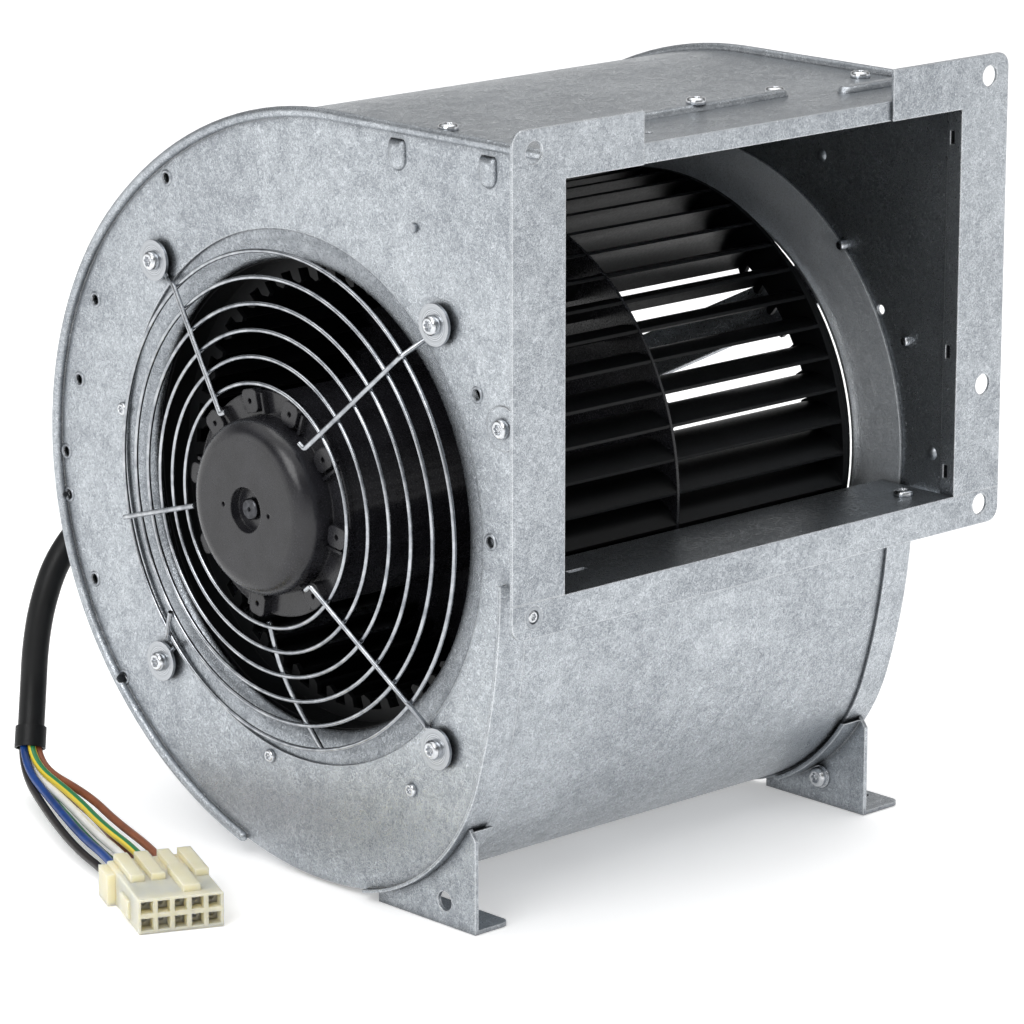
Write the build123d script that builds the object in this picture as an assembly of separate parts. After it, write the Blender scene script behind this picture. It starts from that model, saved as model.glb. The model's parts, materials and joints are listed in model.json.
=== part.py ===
from build123d import *
from math import atan2, cos, degrees, pi, radians, sin, sqrt, tan
import os

os.makedirs("parts", exist_ok=True)

# Housing, sizes in millimetres. The shaft runs along X, air leaves towards -Y, the floor is z = 0.
sheet = 1.2
shaft_height = 145.5
scroll_start = (-110.86, -10.7)
scroll_radii = (246.2, 81.5, 157.0, 133.9, 176.7)
scroll_sweeps = (17.9, 64.1, 59.0, 85.0, 44.0)
outlet_reach = 138.0
opening_half = 101.0
sill_drop = 9.5
opening_height = 147.0
opening_low = shaft_height - sill_drop
opening_high = opening_low + opening_height
collar_depth = 7.0
hem = 2.4
plate_in = opening_half + hem
plate_out = plate_in + sheet
bead_d = 4.0
bead_lift = 0.5
bead_x = plate_out + 0.9
bead_from = 106.2
lip_to = 78.9
lip_out = bead_x + bead_d / 2
band_in = 94.4
flange_half = 126.0
flange_low = opening_low - 13.0
flange_high = opening_high + 19.0
flange_corner = 5.5
corner_end = 63.5
flange_hole_r = 4.0
flange_hole_x = 115.8
flange_hole_low = opening_low - 5.3
flange_hole_high = opening_high + 10.8
flange_hole_mid = opening_low + 41.0
front = -outlet_reach
sill_depth = 37.0

# Inlet nozzles
inlet_r = 100.0
throat_r = 88.0
nozzle_rim_r = 109.6
nozzle_depth = 5.0

# Wire guard on the near inlet
ring_count = 6
ring_wire = 1.6
spoke_wire = 2.0
ring_outer_r = 92.7
ring_inner_r = 45.4
ring_outer_x = -111.5
ring_inner_x = -120.5
mount_r = 110.2

# Feet
foot_sheet = 1.6
foot_front = -94.4
foot_top = shaft_height - 106.1
foot_corner = 4.0
foot_back = -42.0
near_ledge = 17.5
far_ledge = 21.0

# Wheel and motor
wheel_r = 99.0
blade_r = 80.0
blade_count = 50
blade_sheet = 1.2
blade_end = 82.0
end_ring = 2.0
tooth_r = 77.5
collar_r = 89.0
collar_end = 96.4
disc_x = -6.0
cap_x = -129.6
cap_r = 25.5
shoulder_r = 33.0
can_r = 40.0
can_wall = 1.5
shaft_r = 4.0
fit = 0.05
hub_x = 6.0
hub_sheet = 3.0
arm_sheet = 2.4
arm_width = 18.0

# Power cord
cord_d = 10.5
wire_d = 2.8
plug_width = 32.0
plug_length = 47.0
plug_height = 13.2
plug_pitch = 6.3

back_reach = 7.0 + scroll_radii[3] + bead_lift + bead_d / 2
shift_x = (-cap_x - flange_half) / 2
shift_y = (outlet_reach - back_reach) / 2
axle = Pos(0, 0, shaft_height)


def save(name, *shapes):
    solids = [solid for shape in shapes for solid in shape.solids()]
    whole = solids[0] if len(solids) == 1 else Compound(solids)
    export_step(Pos(shift_x, shift_y, 0) * whole, f"parts/{name}.step")


def save_cord(name, *shapes):
    solids = [solid for shape in shapes for solid in shape.solids()]
    whole = solids[0] if len(solids) == 1 else Compound(solids)
    export_step(whole, f"parts/{name}.step")


def slab(x_low, x_high, face):
    return axle * extrude(Plane.YZ.offset(x_low) * face, amount=x_high - x_low)


def tube(x_low, x_high, inner_r, outer_r):
    return slab(x_low, x_high, Circle(outer_r) - Circle(inner_r))


def turned(*points):
    profile = make_face(Polyline(*points, close=True))
    return axle * revolve(Plane.XZ * profile, Axis.X)


def outline(*points):
    return make_face(Polyline(*points, close=True))


def polar(radius, angle):
    return (radius * cos(radians(angle)), radius * sin(radians(angle)))


def scroll_arcs(offset, first=0.0, last=270.0):
    edges = []
    y, z = scroll_start
    turn = 0.0
    for radius, sweep in zip(scroll_radii, scroll_sweeps):
        heading = radians(turn - 90)
        centre = (y - radius * sin(heading), z + radius * cos(heading))
        low = max(first, turn)
        high = min(last, turn + sweep)
        if high > low:
            edges.append(CenterArc(centre, radius + offset, low - 180, high - low))
        turn += sweep
        heading = radians(turn - 90)
        y = centre[0] + radius * sin(heading)
        z = centre[1] - radius * cos(heading)
    return edges


def scroll_strip(inner, outer, first, last):
    outside = scroll_arcs(outer, first, last)
    inside = scroll_arcs(inner, first, last)
    ends = [Line(outside[0] @ 0, inside[0] @ 0), Line(outside[-1] @ 1, inside[-1] @ 1)]
    return make_face(outside + inside + ends)


def rod(points, diameter, radii):
    path = FilletPolyline(*points, radius=radii)
    start = Plane(origin=path @ 0, z_dir=path % 0)
    return sweep(start * Circle(diameter / 2), path=path)


def pan_head(head_r, height, shank_r, length):
    head = fillet(Cylinder(head_r, height).edges().sort_by(Axis.Z)[-1], height * 0.7)
    head = Pos(0, 0, height / 2) * head
    socket = Pos(0, 0, height) * extrude(RegularPolygon(head_r * 0.45, 6), amount=-height * 0.6)
    return head + Pos(0, 0, -length / 2) * Cylinder(shank_r, length) - socket


def rivet(head_r, height, shank_r, length):
    dome_r = (head_r**2 + height**2) / (2 * height)
    dome = Pos(0, 0, height - dome_r) * Sphere(dome_r)
    head = dome & Pos(0, 0, height / 2) * Cylinder(head_r, height)
    return head + Pos(0, 0, -length / 2) * Cylinder(shank_r, length)


short_screw = (3.75, 2.4, 2.0)
long_screw = (3.75, 2.8, 2.0)
screw_bore_r = 2.1
mount_angles = (45, 135, 225, 315)


def facing(side, x, y, z):
    return Pos(side * x, y, z) * Rot(0, 90 * side, 0)


# Scroll wrapper with roof
top = (scroll_arcs(0)[-1] @ 1).Y
roof_front = -outlet_reach + sheet
fold_low = opening_high - shaft_height
outside = scroll_arcs(0)
inside = scroll_arcs(-sheet)
roof = Polyline(outside[-1] @ 1, (roof_front, top), (roof_front, fold_low), (roof_front + sheet, fold_low),
                (roof_front + sheet, top - sheet), inside[-1] @ 1)
wrapper = slab(-plate_in, plate_in, make_face(outside + inside + [roof, Line(outside[0] @ 0, inside[0] @ 0)]))
roof_z = shaft_height + top
rib_r = 2.6
rib_lift = 1.1
rib_spots = ((-27, 42, front + 37), (66, 88, front + 26))
for x_low, x_high, y in rib_spots:
    rib = Pos((x_low + x_high) / 2, y, roof_z + rib_lift - rib_r) * Rot(0, 90, 0) * Cylinder(rib_r, x_high - x_low)
    tips = [Pos(x, y, roof_z + rib_lift - rib_r) * Sphere(rib_r) for x in (x_low, x_high)]
    rib = rib + tips
    wrapper += rib & Pos(0, y, roof_z + rib_r / 2 - sheet / 2) * Box(3 * flange_half, 4 * rib_r, rib_r)

roof_screw_spots = ((-1, front + 37), (45, front + 42), (-94, front + 67), (94, front + 45))
roof_hole = Pos(-47, front + 15, roof_z) * Cylinder(2, 4 * sheet)
screw_bores = [Pos(x, y, roof_z) * Cylinder(screw_bore_r, 8 * sheet) for x, y in roof_screw_spots]
wrapper = wrapper - roof_hole - screw_bores

# Side plates, with the folded lip at the front and the rolled bead round the back and the roof
neck = scroll_start[1]
edge = scroll_arcs(bead_lift)
plate_front = -outlet_reach + sheet
border = Polyline(edge[-1] @ 1, (plate_front, top + bead_lift), (plate_front, neck), edge[0] @ 0)
plate = slab(plate_in, plate_out, make_face(edge + [border]))
lip = slab(band_in, lip_out, scroll_strip(0, sheet, 0, lip_to))
bead_arcs = scroll_arcs(bead_lift, bead_from)
bead_line = Line(bead_arcs[-1] @ 1, (plate_front, top + bead_lift))
bead_path = axle * (Plane.YZ.offset(bead_x) * Wire(bead_arcs + [bead_line]))
bead = sweep(Plane(origin=bead_path @ 0, z_dir=bead_path % 0) * Circle(bead_d / 2), path=bead_path)
bead_tip = Pos(bead_path @ 0) * Sphere(bead_d / 2)
inlet = slab(plate_in - 1, plate_out + 1, Circle(inlet_r))
screw_holes = [axle * Pos(plate_in, *polar(mount_r, a)) * Rot(0, 90, 0) * Cylinder(screw_bore_r, 8)
                for a in mount_angles]
plate = plate + lip + bead + bead_tip - inlet - screw_holes

vent_spots = ((73, 109.5), (117, 56.5), (128, 23.5), (137, -6.5), (136, -23.5), (121, -54.5), (104, -90.5),
              (front + 41, 55.5), (front + 34, 3.5), (front + 21, 136.5))
vents = [axle * Pos(plate_in, y, z) * Rot(0, 90, 0) * Cylinder(1.9, 8) for y, z in vent_spots]
tab_z = fold_low + 3.0
tab_slots = [axle * Pos(plate_in, y, tab_z) * Box(4 * sheet, 7, sheet) for y in (-56, front + 35)]
band_slot = axle * Pos(plate_in - 4, front + 24, -63.5) * Box(4, 4, 12)
rivet_spots = ((101, 16.5), (17, -102.5), (-62, -97.5))
wall_rivet_spots = ((-65, 110.5), (front + 13.5, 4.5))
rivet_r = 1.6
rivet_holes = [axle * Pos(plate_in, y, z) * Rot(0, 90, 0) * Cylinder(rivet_r, 8)
               for y, z in rivet_spots + wall_rivet_spots]
plate = plate - vents - tab_slots - band_slot - rivet_holes
pad_y, pad_z = front + 27.4, shaft_height + 45.7
pad_lift = 0.6
pad = Pos(plate_out + pad_lift / 2, pad_y, pad_z) * Rot(0, 90, 0) * Cylinder(8, pad_lift)
pad_bore = Pos(plate_in, pad_y, pad_z) * Rot(0, 90, 0) * Cylinder(screw_bore_r, 8)
plate = plate + pad - pad_bore
save("side_plate_far", plate)
save("side_plate_near", mirror(plate, Plane.YZ))

# Outlet frame: two side frames with collars, and the sill under the opening
frame_back = -outlet_reach + sheet


def frame_sheet(face):
    return Pos(0, -outlet_reach, 0) * extrude(Plane.XZ * face, amount=-sheet)


def frame_hole(x, z):
    return Pos(x, -outlet_reach, z) * Rot(90, 0, 0) * Cylinder(flange_hole_r, 4 * sheet)


frame_face = outline((opening_half, opening_low), (flange_half, opening_low), (flange_half, flange_high),
                     (corner_end, flange_high), (corner_end, opening_high), (opening_half, opening_high))
frame_face = fillet(frame_face.vertices().group_by(Axis.X)[-1].group_by(Axis.Y)[-1], flange_corner)
frame = frame_sheet(frame_face)
hem_height = opening_high - opening_low
collar = Box(hem, collar_depth, hem_height, align=(Align.MIN, Align.MIN, Align.MIN))
frame += Pos(opening_half, -outlet_reach, opening_low) * collar
lances = [Pos(opening_half + hem / 2, front + collar_depth / 2 + 1, opening_low + rise) * Box(2 * hem, 2, 5)
          for rise in (136, 55, 9)]
frame = frame - lances - frame_hole(flange_hole_x, flange_hole_high)
frame_far = frame - frame_hole(flange_hole_x, flange_hole_mid)
save("outlet_frame_far", frame_far)
save("outlet_frame_near", mirror(frame, Plane.YZ))

sill_face = outline((-flange_half, flange_low), (flange_half, flange_low), (flange_half, opening_low),
                    (-flange_half, opening_low))
sill_face = fillet(sill_face.vertices().group_by(Axis.Y)[0], flange_corner)
sill = frame_sheet(sill_face)
sill_top = opening_low
sill_back = front + sill_depth
shelf = outline((-opening_half, front), (opening_half, front), (opening_half, sill_back),
                (-opening_half + 14, sill_back), (-opening_half, sill_back - 12))
shelf = Pos(0, 0, sill_top - sheet) * extrude(shelf, amount=sheet)
hanging = (Align.CENTER, Align.MIN, Align.MAX)
tongue = Pos(0, sill_back - sheet, sill_top) * Box(2 * opening_half - 30, sheet, 4, align=hanging)
sill_screw_x, sill_screw_y = opening_half - 12.1, front + 14.6
sill_slot = Pos(-75, front + 21, sill_top) * Box(9, 2.4, 4)
sill_bore = Pos(sill_screw_x, sill_screw_y, sill_top) * Cylinder(screw_bore_r, 8)
sill = sill + shelf + tongue - sill_slot - sill_bore
sill = sill - frame_hole(flange_hole_x, flange_hole_low) - frame_hole(-flange_hole_x, flange_hole_low)
save("outlet_sill", sill)

# Inlet nozzles, quarter ellipse bell mouths behind the side plates
bell_x = plate_in - nozzle_depth
bell_rise = inlet_r - throat_r
front_curve = EllipticalCenterArc((bell_x, inlet_r), nozzle_depth, bell_rise, 270, arc_size=90)
back_curve = EllipticalCenterArc((bell_x, inlet_r), nozzle_depth - sheet, bell_rise - sheet, 270, arc_size=90)
rim = Polyline(front_curve @ 1, (plate_in, nozzle_rim_r), (plate_in - sheet, nozzle_rim_r), back_curve @ 1)
bell = make_face([front_curve, back_curve, rim, Line(front_curve @ 0, back_curve @ 0)])
nozzle = axle * revolve(Plane.XZ * bell, Axis.X)
nozzle = nozzle - rivet_holes - screw_holes
save("nozzle_far", nozzle)
save("nozzle_near", mirror(nozzle, Plane.YZ))

# Rivets and screws of the housing
near_rivets = [axle * facing(-1, plate_out, y, z) * rivet(2.6, 1.1, rivet_r, 4 * sheet) for y, z in rivet_spots]
far_rivets = [axle * facing(1, plate_out, y, z) * rivet(2.6, 1.1, rivet_r, 4 * sheet) for y, z in rivet_spots]
wall_rivets = [axle * facing(side, plate_in, y, z) * Rot(180, 0, 0) * rivet(2.6, 1.1, rivet_r, 2 * sheet)
               for side in (1, -1) for y, z in wall_rivet_spots]
save("nozzle_rivets", *near_rivets, *far_rivets)
save("wall_rivets", *wall_rivets)
pad_screws = [facing(side, plate_out + pad_lift, pad_y, pad_z) * pan_head(*short_screw, 4) for side in (1, -1)]
save("pad_screws", *pad_screws)
roof_screws = [Pos(x, y, roof_z) * pan_head(*short_screw, 4) for x, y in roof_screw_spots[1:]]
rib_screw = Pos(*roof_screw_spots[0], roof_z + rib_lift) * pan_head(*short_screw, 5)
roof_screws.append(Pos(sill_screw_x, sill_screw_y, sill_top) * pan_head(*short_screw, 4))
save("roof_screws", *roof_screws, rib_screw)
clinch = Pos(-flange_hole_x, frame_back, flange_hole_low) * Rot(90, 0, 0)
clinch_body = Pos(0, 0, -1.5) * Cylinder(6.0, 3.0) + Pos(0, 0, sheet / 2) * Cylinder(flange_hole_r, sheet)
save("frame_insert", clinch * (clinch_body - Pos(0, 0, sheet) * Cylinder(2.5, 9)))


# Wire guard
def ring_x(radius):
    return ring_outer_x + (ring_inner_x - ring_outer_x) * (ring_outer_r - radius) / (ring_outer_r - ring_inner_r)


spoke_gap = (ring_wire + spoke_wire) / 2 - 0.02
rings = []
for i in range(ring_count):
    radius = ring_outer_r + (ring_inner_r - ring_outer_r) * i / (ring_count - 1)
    rings.append(axle * Pos(ring_x(radius), 0, 0) * Rot(0, 90, 0) * Torus(radius, ring_wire / 2))
save("guard_rings", *rings)

wire_x = -plate_out - spoke_wire / 2
eye_r = 4.0


def spoke_point(radius, angle, behind=False):
    side = 1 if behind else -1
    return (ring_x(radius) + side * spoke_gap, *polar(radius, angle))


def arm_of_guard(screw_angle, first, last, tip_turn):
    start = (wire_x, *polar(mount_r - eye_r, screw_angle))
    knee = (wire_x, *polar(mount_r - eye_r - 5, screw_angle))
    outer = spoke_point(ring_outer_r + 1, first)
    inner = spoke_point(37.5, last)
    tip = spoke_point(37.0, last + tip_turn)
    return axle * rod((start, knee, outer, inner, tip), spoke_wire, [2.0, 4.0, 1.1])


eyes = [axle * Pos(wire_x, *polar(mount_r, a)) * Rot(0, 90, 0) * Torus(eye_r, spoke_wire / 2) for a in mount_angles]
spokes = [arm_of_guard(45, 50.5, 57, 5), arm_of_guard(135, 135.5, 135, -5), arm_of_guard(225, 221.5, 219.5, 5)]
outer_end = ring_outer_r + 1.3
side_bend = [60.0]
side_line = (spoke_point(outer_end, -14.0), spoke_point(62.0, -12.5), spoke_point(36.5, -9.5))
side_spoke = axle * rod(side_line, spoke_wire, side_bend)
low_line = (spoke_point(ring_inner_r - 1.4, -90, True), spoke_point(66.0, -92.0, True),
            spoke_point(outer_end, -101.5, True))
low_spoke = axle * rod(low_line, spoke_wire, side_bend)
leg_start = (wire_x, *polar(mount_r - eye_r, 315))
leg_knee = (wire_x, *polar(mount_r - eye_r - 6, 315))
leg_line = (leg_start, leg_knee, spoke_point(ring_outer_r + 0.3, -44.0), spoke_point(82.0, -41.0))
short_leg = axle * rod(leg_line, spoke_wire, [2.0, 4.0])
guard_spokes = spokes[0] + eyes[0], spokes[1] + eyes[1], spokes[2] + eyes[2], short_leg + eyes[3], side_spoke, low_spoke
save("guard_spokes", *guard_spokes)

washer_x = -plate_out - spoke_wire
washer_sheet = 1.2
washer = tube(washer_x - washer_sheet, washer_x, screw_bore_r, 7.75)
washer_set = [Pos(0, *polar(mount_r, a)) * washer for a in mount_angles]
save("guard_washers", *washer_set)
guard_screws = [axle * Pos(washer_x - washer_sheet, *polar(mount_r, a)) * Rot(0, -90, 0) * pan_head(*long_screw, 9)
                for a in mount_angles]
save("guard_screws", *guard_screws)

# Feet under the front of the scroll
second_centre = scroll_arcs(0)[1].arc_center
under_r = scroll_radii[1] + sheet
under = Pos(second_centre.X, second_centre.Y + shaft_height) * Circle(under_r)
foot_face = outline((foot_front, 0), (foot_front, foot_top - foot_corner), (foot_front + 3.2, foot_top), (foot_back, foot_top),
                    (foot_back, 0)) - under
foot_face = foot_face.faces().sort_by(Axis.X)[0]
rib_face = Pos(second_centre.X, second_centre.Y + shaft_height) * (Circle(under_r + foot_sheet) - Circle(under_r))
rib_face = rib_face & outline((foot_front, 8), (foot_front, foot_top - 1), (-55, foot_top - 1), (-55, 8))
foot_holes = {1: (-72.0, 11.0), -1: (-78.0, 9.1)}


def foot(side, ledge):
    x_low = side * plate_in if side < 0 else plate_in - foot_sheet
    web = Pos(x_low, 0, 0) * extrude(Plane.YZ * foot_face, amount=foot_sheet)
    base = outline((x_low, foot_front), (x_low + ledge, foot_front), (x_low + ledge, foot_back), (x_low, foot_back))
    base = fillet(base.vertices().group_by(Axis.X)[-1], 4)
    base = extrude(base, amount=foot_sheet)
    flap_low = plate_in - 11 if side > 0 else -plate_in
    flap = Pos(flap_low, 0, 0) * extrude(Plane.YZ * rib_face, amount=11)
    y, z = foot_holes[side]
    bore_r = 2.1 if side > 0 else 3.7
    bore = Pos(x_low, y, z) * Rot(0, 90, 0) * Cylinder(bore_r, 8)
    peg_hole = Pos(x_low + ledge - 5.5, -80, 0) * Cylinder(2.2, 8)
    return web + base + flap - bore - peg_hole


save("foot_near", foot(-1, near_ledge))
save("foot_far", foot(1, far_ledge))
bolt_y, bolt_z = foot_holes[1]
foot_in = plate_in - foot_sheet
foot_washer = Pos(foot_in - 1, bolt_y, bolt_z) * Rot(0, 90, 0) * extrude(Circle(4.5) - Circle(2.1), amount=1)
save("foot_washer", foot_washer)
save("foot_screw", Pos(foot_in - 1, bolt_y, bolt_z) * Rot(0, -90, 0) * pan_head(4.0, 3.0, 2.0, 9))
foot_nut = Pos(plate_in, bolt_y, bolt_z) * Rot(0, 90, 0) * extrude(RegularPolygon(4, 6) - Circle(2.05), amount=3.2)
save("foot_nut", foot_nut)

# Double inlet wheel with forward curved blades
blade_start = Vector(blade_r, 0)
blade_tip = Vector(*polar(wheel_r, 5.0))
chord = blade_tip - blade_start
across = Vector(chord.Y, -chord.X).normalized()
blade_mid = (blade_start + blade_tip) * 0.5 + across * 3.2
rear = [point - across * blade_sheet for point in (blade_start, blade_mid, blade_tip)]
blade_face = make_face([ThreePointArc(blade_start, blade_mid, blade_tip), Line(blade_tip, rear[2]),
                        ThreePointArc(rear[2], rear[1], rear[0]), Line(rear[0], blade_start)])
tooth = outline(polar(84, -1.2), polar(tooth_r + 2, -0.6), polar(tooth_r, 1.6), polar(tooth_r + 0.8, 2.8),
                polar(84, 2.2))
pitch = 360 / blade_count
collar_in = collar_r - 1.4


def wheel_half(side, foot_x):
    low, high = sorted((foot_x, side * blade_end))
    blade = slab(low, high, blade_face)
    low, high = sorted((side * blade_end, side * (blade_end + end_ring)))
    face = Circle(wheel_r) - Circle(83) + [Rot(0, 0, pitch * i) * tooth for i in range(blade_count)]
    cage = slab(low, high, face)
    low, high = sorted((side * (blade_end + end_ring), side * collar_end))
    cage += tube(low, high, collar_in, collar_r)
    spin = [axle * Rot(pitch * i, 0, 0) * Pos(0, 0, -shaft_height) * blade for i in range(blade_count)]
    return cage + spin


save("wheel_near", wheel_half(-1, disc_x - sheet / 2))
save("wheel_far", wheel_half(1, disc_x + sheet / 2))
disc_rivet_r = 44.5
disc_angles = range(0, 360, 60)
disc = tube(disc_x - sheet / 2, disc_x + sheet / 2, can_r, wheel_r)
disc -= [axle * Pos(disc_x, *polar(disc_rivet_r, a)) * Rot(0, 90, 0) * Cylinder(1.6, 8) for a in disc_angles]
save("wheel_disc", disc)

# External rotor with its cap
recess_r = 8.5
recess_x = cap_x + 4
ledge_x = -116.0
rim_x = ledge_x + 2
rotor_end = -2.0
shoulder = ThreePointArc((cap_x, cap_r), (cap_x + 2.2, cap_r + 5.3), (cap_x + 7.6, shoulder_r))
shell = Polyline(shoulder @ 1, (ledge_x, shoulder_r), (ledge_x, can_r + 2), (rim_x, can_r + 2), (rim_x, can_r),
                 (disc_x + sheet / 2, can_r), (disc_x + sheet / 2, can_r + 8), (rotor_end, can_r + 8),
                 (rotor_end, can_r - can_wall), (rim_x, can_r - can_wall), (rim_x, shoulder_r - 2),
                 (cap_x + 7.6, shoulder_r - 2), (recess_x + 3, cap_r - 2), (recess_x + 3, shaft_r),
                 (recess_x, shaft_r), (recess_x, recess_r), (cap_x, recess_r), shoulder @ 0)
rotor = axle * revolve(Plane.XZ * make_face([shoulder, shell]), Axis.X)
rotor -= [axle * Pos(cap_x, y, 0) * Rot(0, 90, 0) * Cylinder(0.9, 3) for y in (12.6, -12.6)]
rotor -= [axle * Pos(disc_x + 2, *polar(disc_rivet_r, a)) * Rot(0, 90, 0) * Cylinder(1.6, 12) for a in disc_angles]
save("rotor_shell", rotor)

lug_r = 38.7
lug_face = RectangleRounded(9, 8, 2.4) - Circle(1.0)
gusset = Pos(37.2, 5.6) * Rectangle(8.0, 1.2)
lug = slab(ledge_x - 3.6, ledge_x, Pos(lug_r, 0) * lug_face)
fin = slab(ledge_x - 2.6, ledge_x, gusset)
lug_angles = (7, 42, 77, 110, 144, 187, 229, 279, 329)
lugs = [axle * Rot(a, 0, 0) * Pos(0, 0, -shaft_height) * piece for a in lug_angles for piece in (lug, fin)]
save("rotor_lugs", *lugs)
disc_rivets = [axle * Pos(disc_x - sheet / 2, *polar(disc_rivet_r, a)) * Rot(0, -90, 0) * rivet(2.8, 1.2, 1.6, 5.2)
               for a in disc_angles]
save("disc_rivets", *disc_rivets)

shaft_end = 3.5
shaft = turned((cap_x + 1.6, 0), (cap_x + 1.6, shaft_r - 0.5), (cap_x + 2.1, shaft_r), (shaft_end - 0.5, shaft_r),
               (shaft_end, shaft_r - 0.5), (shaft_end, 0))
shaft -= axle * Pos(cap_x + 1.6, 0, 0) * Rot(0, 90, 0) * Cone(1.6, 0.2, 3)
circlip_x = -1.0
shaft -= tube(circlip_x, circlip_x + 0.9, shaft_r - 0.5, shaft_r + 1)
save("motor_shaft", shaft)
circlip_face = Circle(5.6) - Circle(shaft_r - 0.5) - Pos(5, 0) * Rectangle(6, 3)
save("circlip", slab(circlip_x, circlip_x + 0.9, circlip_face))
magnet_r = can_r - can_wall
save("rotor_ring", tube(-84, -22, magnet_r - 2.8, magnet_r))

# Stator on its bearing tube
core_r = magnet_r - 2.8 - 0.5
tube_r = 14.0
bearing_r = 11.0
race_r = 6.2
seat_x = (-104.0, -8.0)
bearing_width = 7.0
core = Circle(core_r) - Circle(tube_r)
slot = Pos(core_r - 8, 0) * (RectangleRounded(12, 5, 2) + Pos(7, 0) * Rectangle(6, 1.6))
core -= [Rot(0, 0, 30 * i) * slot for i in range(12)]
save("stator_core", slab(-80, -26, core))
winding_profile = [tube(low, high, 20.0, 32.0) for low, high in ((-93, -80), (-26, -13))]
save("stator_windings", *[fillet(part.edges(), 3) for part in winding_profile])
stator_tube = turned((-106, bearing_r), (-106, tube_r), (2, tube_r), (2, can_r - 4), (hub_x, can_r - 4),
                     (hub_x, bearing_r + 1), (0, bearing_r + 1), (0, bearing_r))
support_r = 28.0
support_angles = (0, 90, 180, 270)
stator_tube -= [axle * Pos(hub_x, *polar(support_r, a)) * Rot(0, 90, 0) * Cylinder(2.0, 16) for a in support_angles]
save("bearing_tube", stator_tube)
outer_races = [tube(x, x + bearing_width, 9.0, bearing_r) for x in seat_x]
inner_races = [tube(x, x + bearing_width, shaft_r, race_r) for x in seat_x]
groove = [axle * Pos(x + bearing_width / 2, 0, 0) * Rot(0, 90, 0) * Torus(7.6, 1.85) for x in seat_x]
save("bearing_outer_rings", *[race - cut for race, cut in zip(outer_races, groove)])
save("bearing_inner_rings", *[race - cut for race, cut in zip(inner_races, groove)])
balls = [axle * Pos(x + bearing_width / 2, *polar(7.6, 45 * i)) * Sphere(1.8) for x in seat_x for i in range(8)]
save("bearing_balls", *balls)

# Motor support on the far side
hub_plate = tube(hub_x, hub_x + hub_sheet, 12.0, can_r)
hub_plate -= [axle * Pos(hub_x, *polar(support_r, a)) * Rot(0, 90, 0) * Cylinder(screw_bore_r, 16) for a in support_angles]
arm_low = hub_x + hub_sheet
arm_points = (arm_low, can_r - 12), (arm_low, can_r), (plate_out - 5.6, blade_r), (plate_out, 92.0), (plate_out, mount_r + 8)
arm_line = FilletPolyline(*arm_points, radius=[5.0, 5.0, 5.0])
arm_edge = offset(arm_line, amount=arm_sheet, side=Side.RIGHT, closed=True)
arm = axle * Pos(0, arm_width / 2, 0) * extrude(Plane.XZ * make_face(arm_edge.edges()), amount=arm_width)
arm_bore = axle * Pos(plate_out, 0, mount_r) * Rot(0, 90, 0) * Cylinder(screw_bore_r, 12)
arm -= arm_bore
arms = [axle * Rot(a, 0, 0) * Pos(0, 0, -shaft_height) * arm for a in mount_angles]
save("motor_support", *(hub_plate + arms).solids())
support_screws = [facing(1, hub_x + hub_sheet, y, z + shaft_height) * pan_head(3.6, 2.4, 2.0, 8)
                  for y, z in (polar(support_r, a) for a in support_angles)]
save("support_screws", *support_screws)
arm_screws = [axle * Pos(plate_out + arm_sheet, *polar(mount_r, a)) * Rot(0, 90, 0) * pan_head(*long_screw, 7)
              for a in mount_angles]
save("arm_screws", *arm_screws)

# Cable gland in the hub of the support
gland_end = 30.0
gland_bore = cord_d / 2 + 0.25
gland = turned((0.5, gland_bore), (0.5, 11.6), (hub_x, 11.6), (hub_x, 12.0), (arm_low, 12.0), (arm_low, 14.0),
               (15.0, 14.0), (18.0, 10.5), (gland_end, 8.0), (gland_end, gland_bore))
save("cable_gland", gland)


# Cord, in the finished frame
def cord_radii(points):
    radii = []
    for before, corner, after in zip(points, points[1:], points[2:]):
        first = Vector(*corner) - Vector(*before)
        second = Vector(*after) - Vector(*corner)
        half_turn = radians(first.get_angle(second)) / 2
        radii.append(0.45 * min(first.length, second.length) / tan(half_turn))
    return radii


def cord(name, points, diameter):
    radii = cord_radii(points)
    solid = rod(points, diameter, radii)
    length = FilletPolyline(*points, radius=radii).length
    section = pi * diameter**2 / 4
    print(name, "smallest radius", round(min(radii), 1), "length", round(length, 1),
          "volume ratio", round(solid.volume / section / length, 4))
    return solid


wall_arc = scroll_arcs(0)[3]
clip_z = shaft_height - 27.1
clip_x = -8.0
clip_in = cord_d / 2 + 0.35
clip_ring = 1.2
clip_reach = wall_arc.radius + clip_in + clip_ring
wall_centre_z = wall_arc.arc_center.Y + shaft_height
clip_y = wall_arc.arc_center.X + sqrt(clip_reach**2 - (clip_z - wall_centre_z) ** 2) + shift_y
cord_route = ((6.0, shift_y, shaft_height), (46.0, shift_y, shaft_height), (70, -1.5, 143.5), (94, 6, 140.5),
              (116, 24, 137), (129, 54, 133.5), (132, 88, 130.5), (132, 123.7, 127.6), (123.8, 143.6, 125.9),
              (108.6, 158.8, 124.2), (88.7, 167, 122.4), (64, 167, 120.6), (7.6, clip_y, clip_z),
              (-20, clip_y, clip_z), (-53, 151, 114.5), (-76, 154.5, 105), (-92, 155.5, 90.5), (-100.5, 155.3, 73),
              (-104.7, 155.0, 56), (-107.6, 153.2, 39), (-114.4, 146.8, 22))
save_cord("cable_sheath", cord("cable_sheath", cord_route, cord_d))

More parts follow.
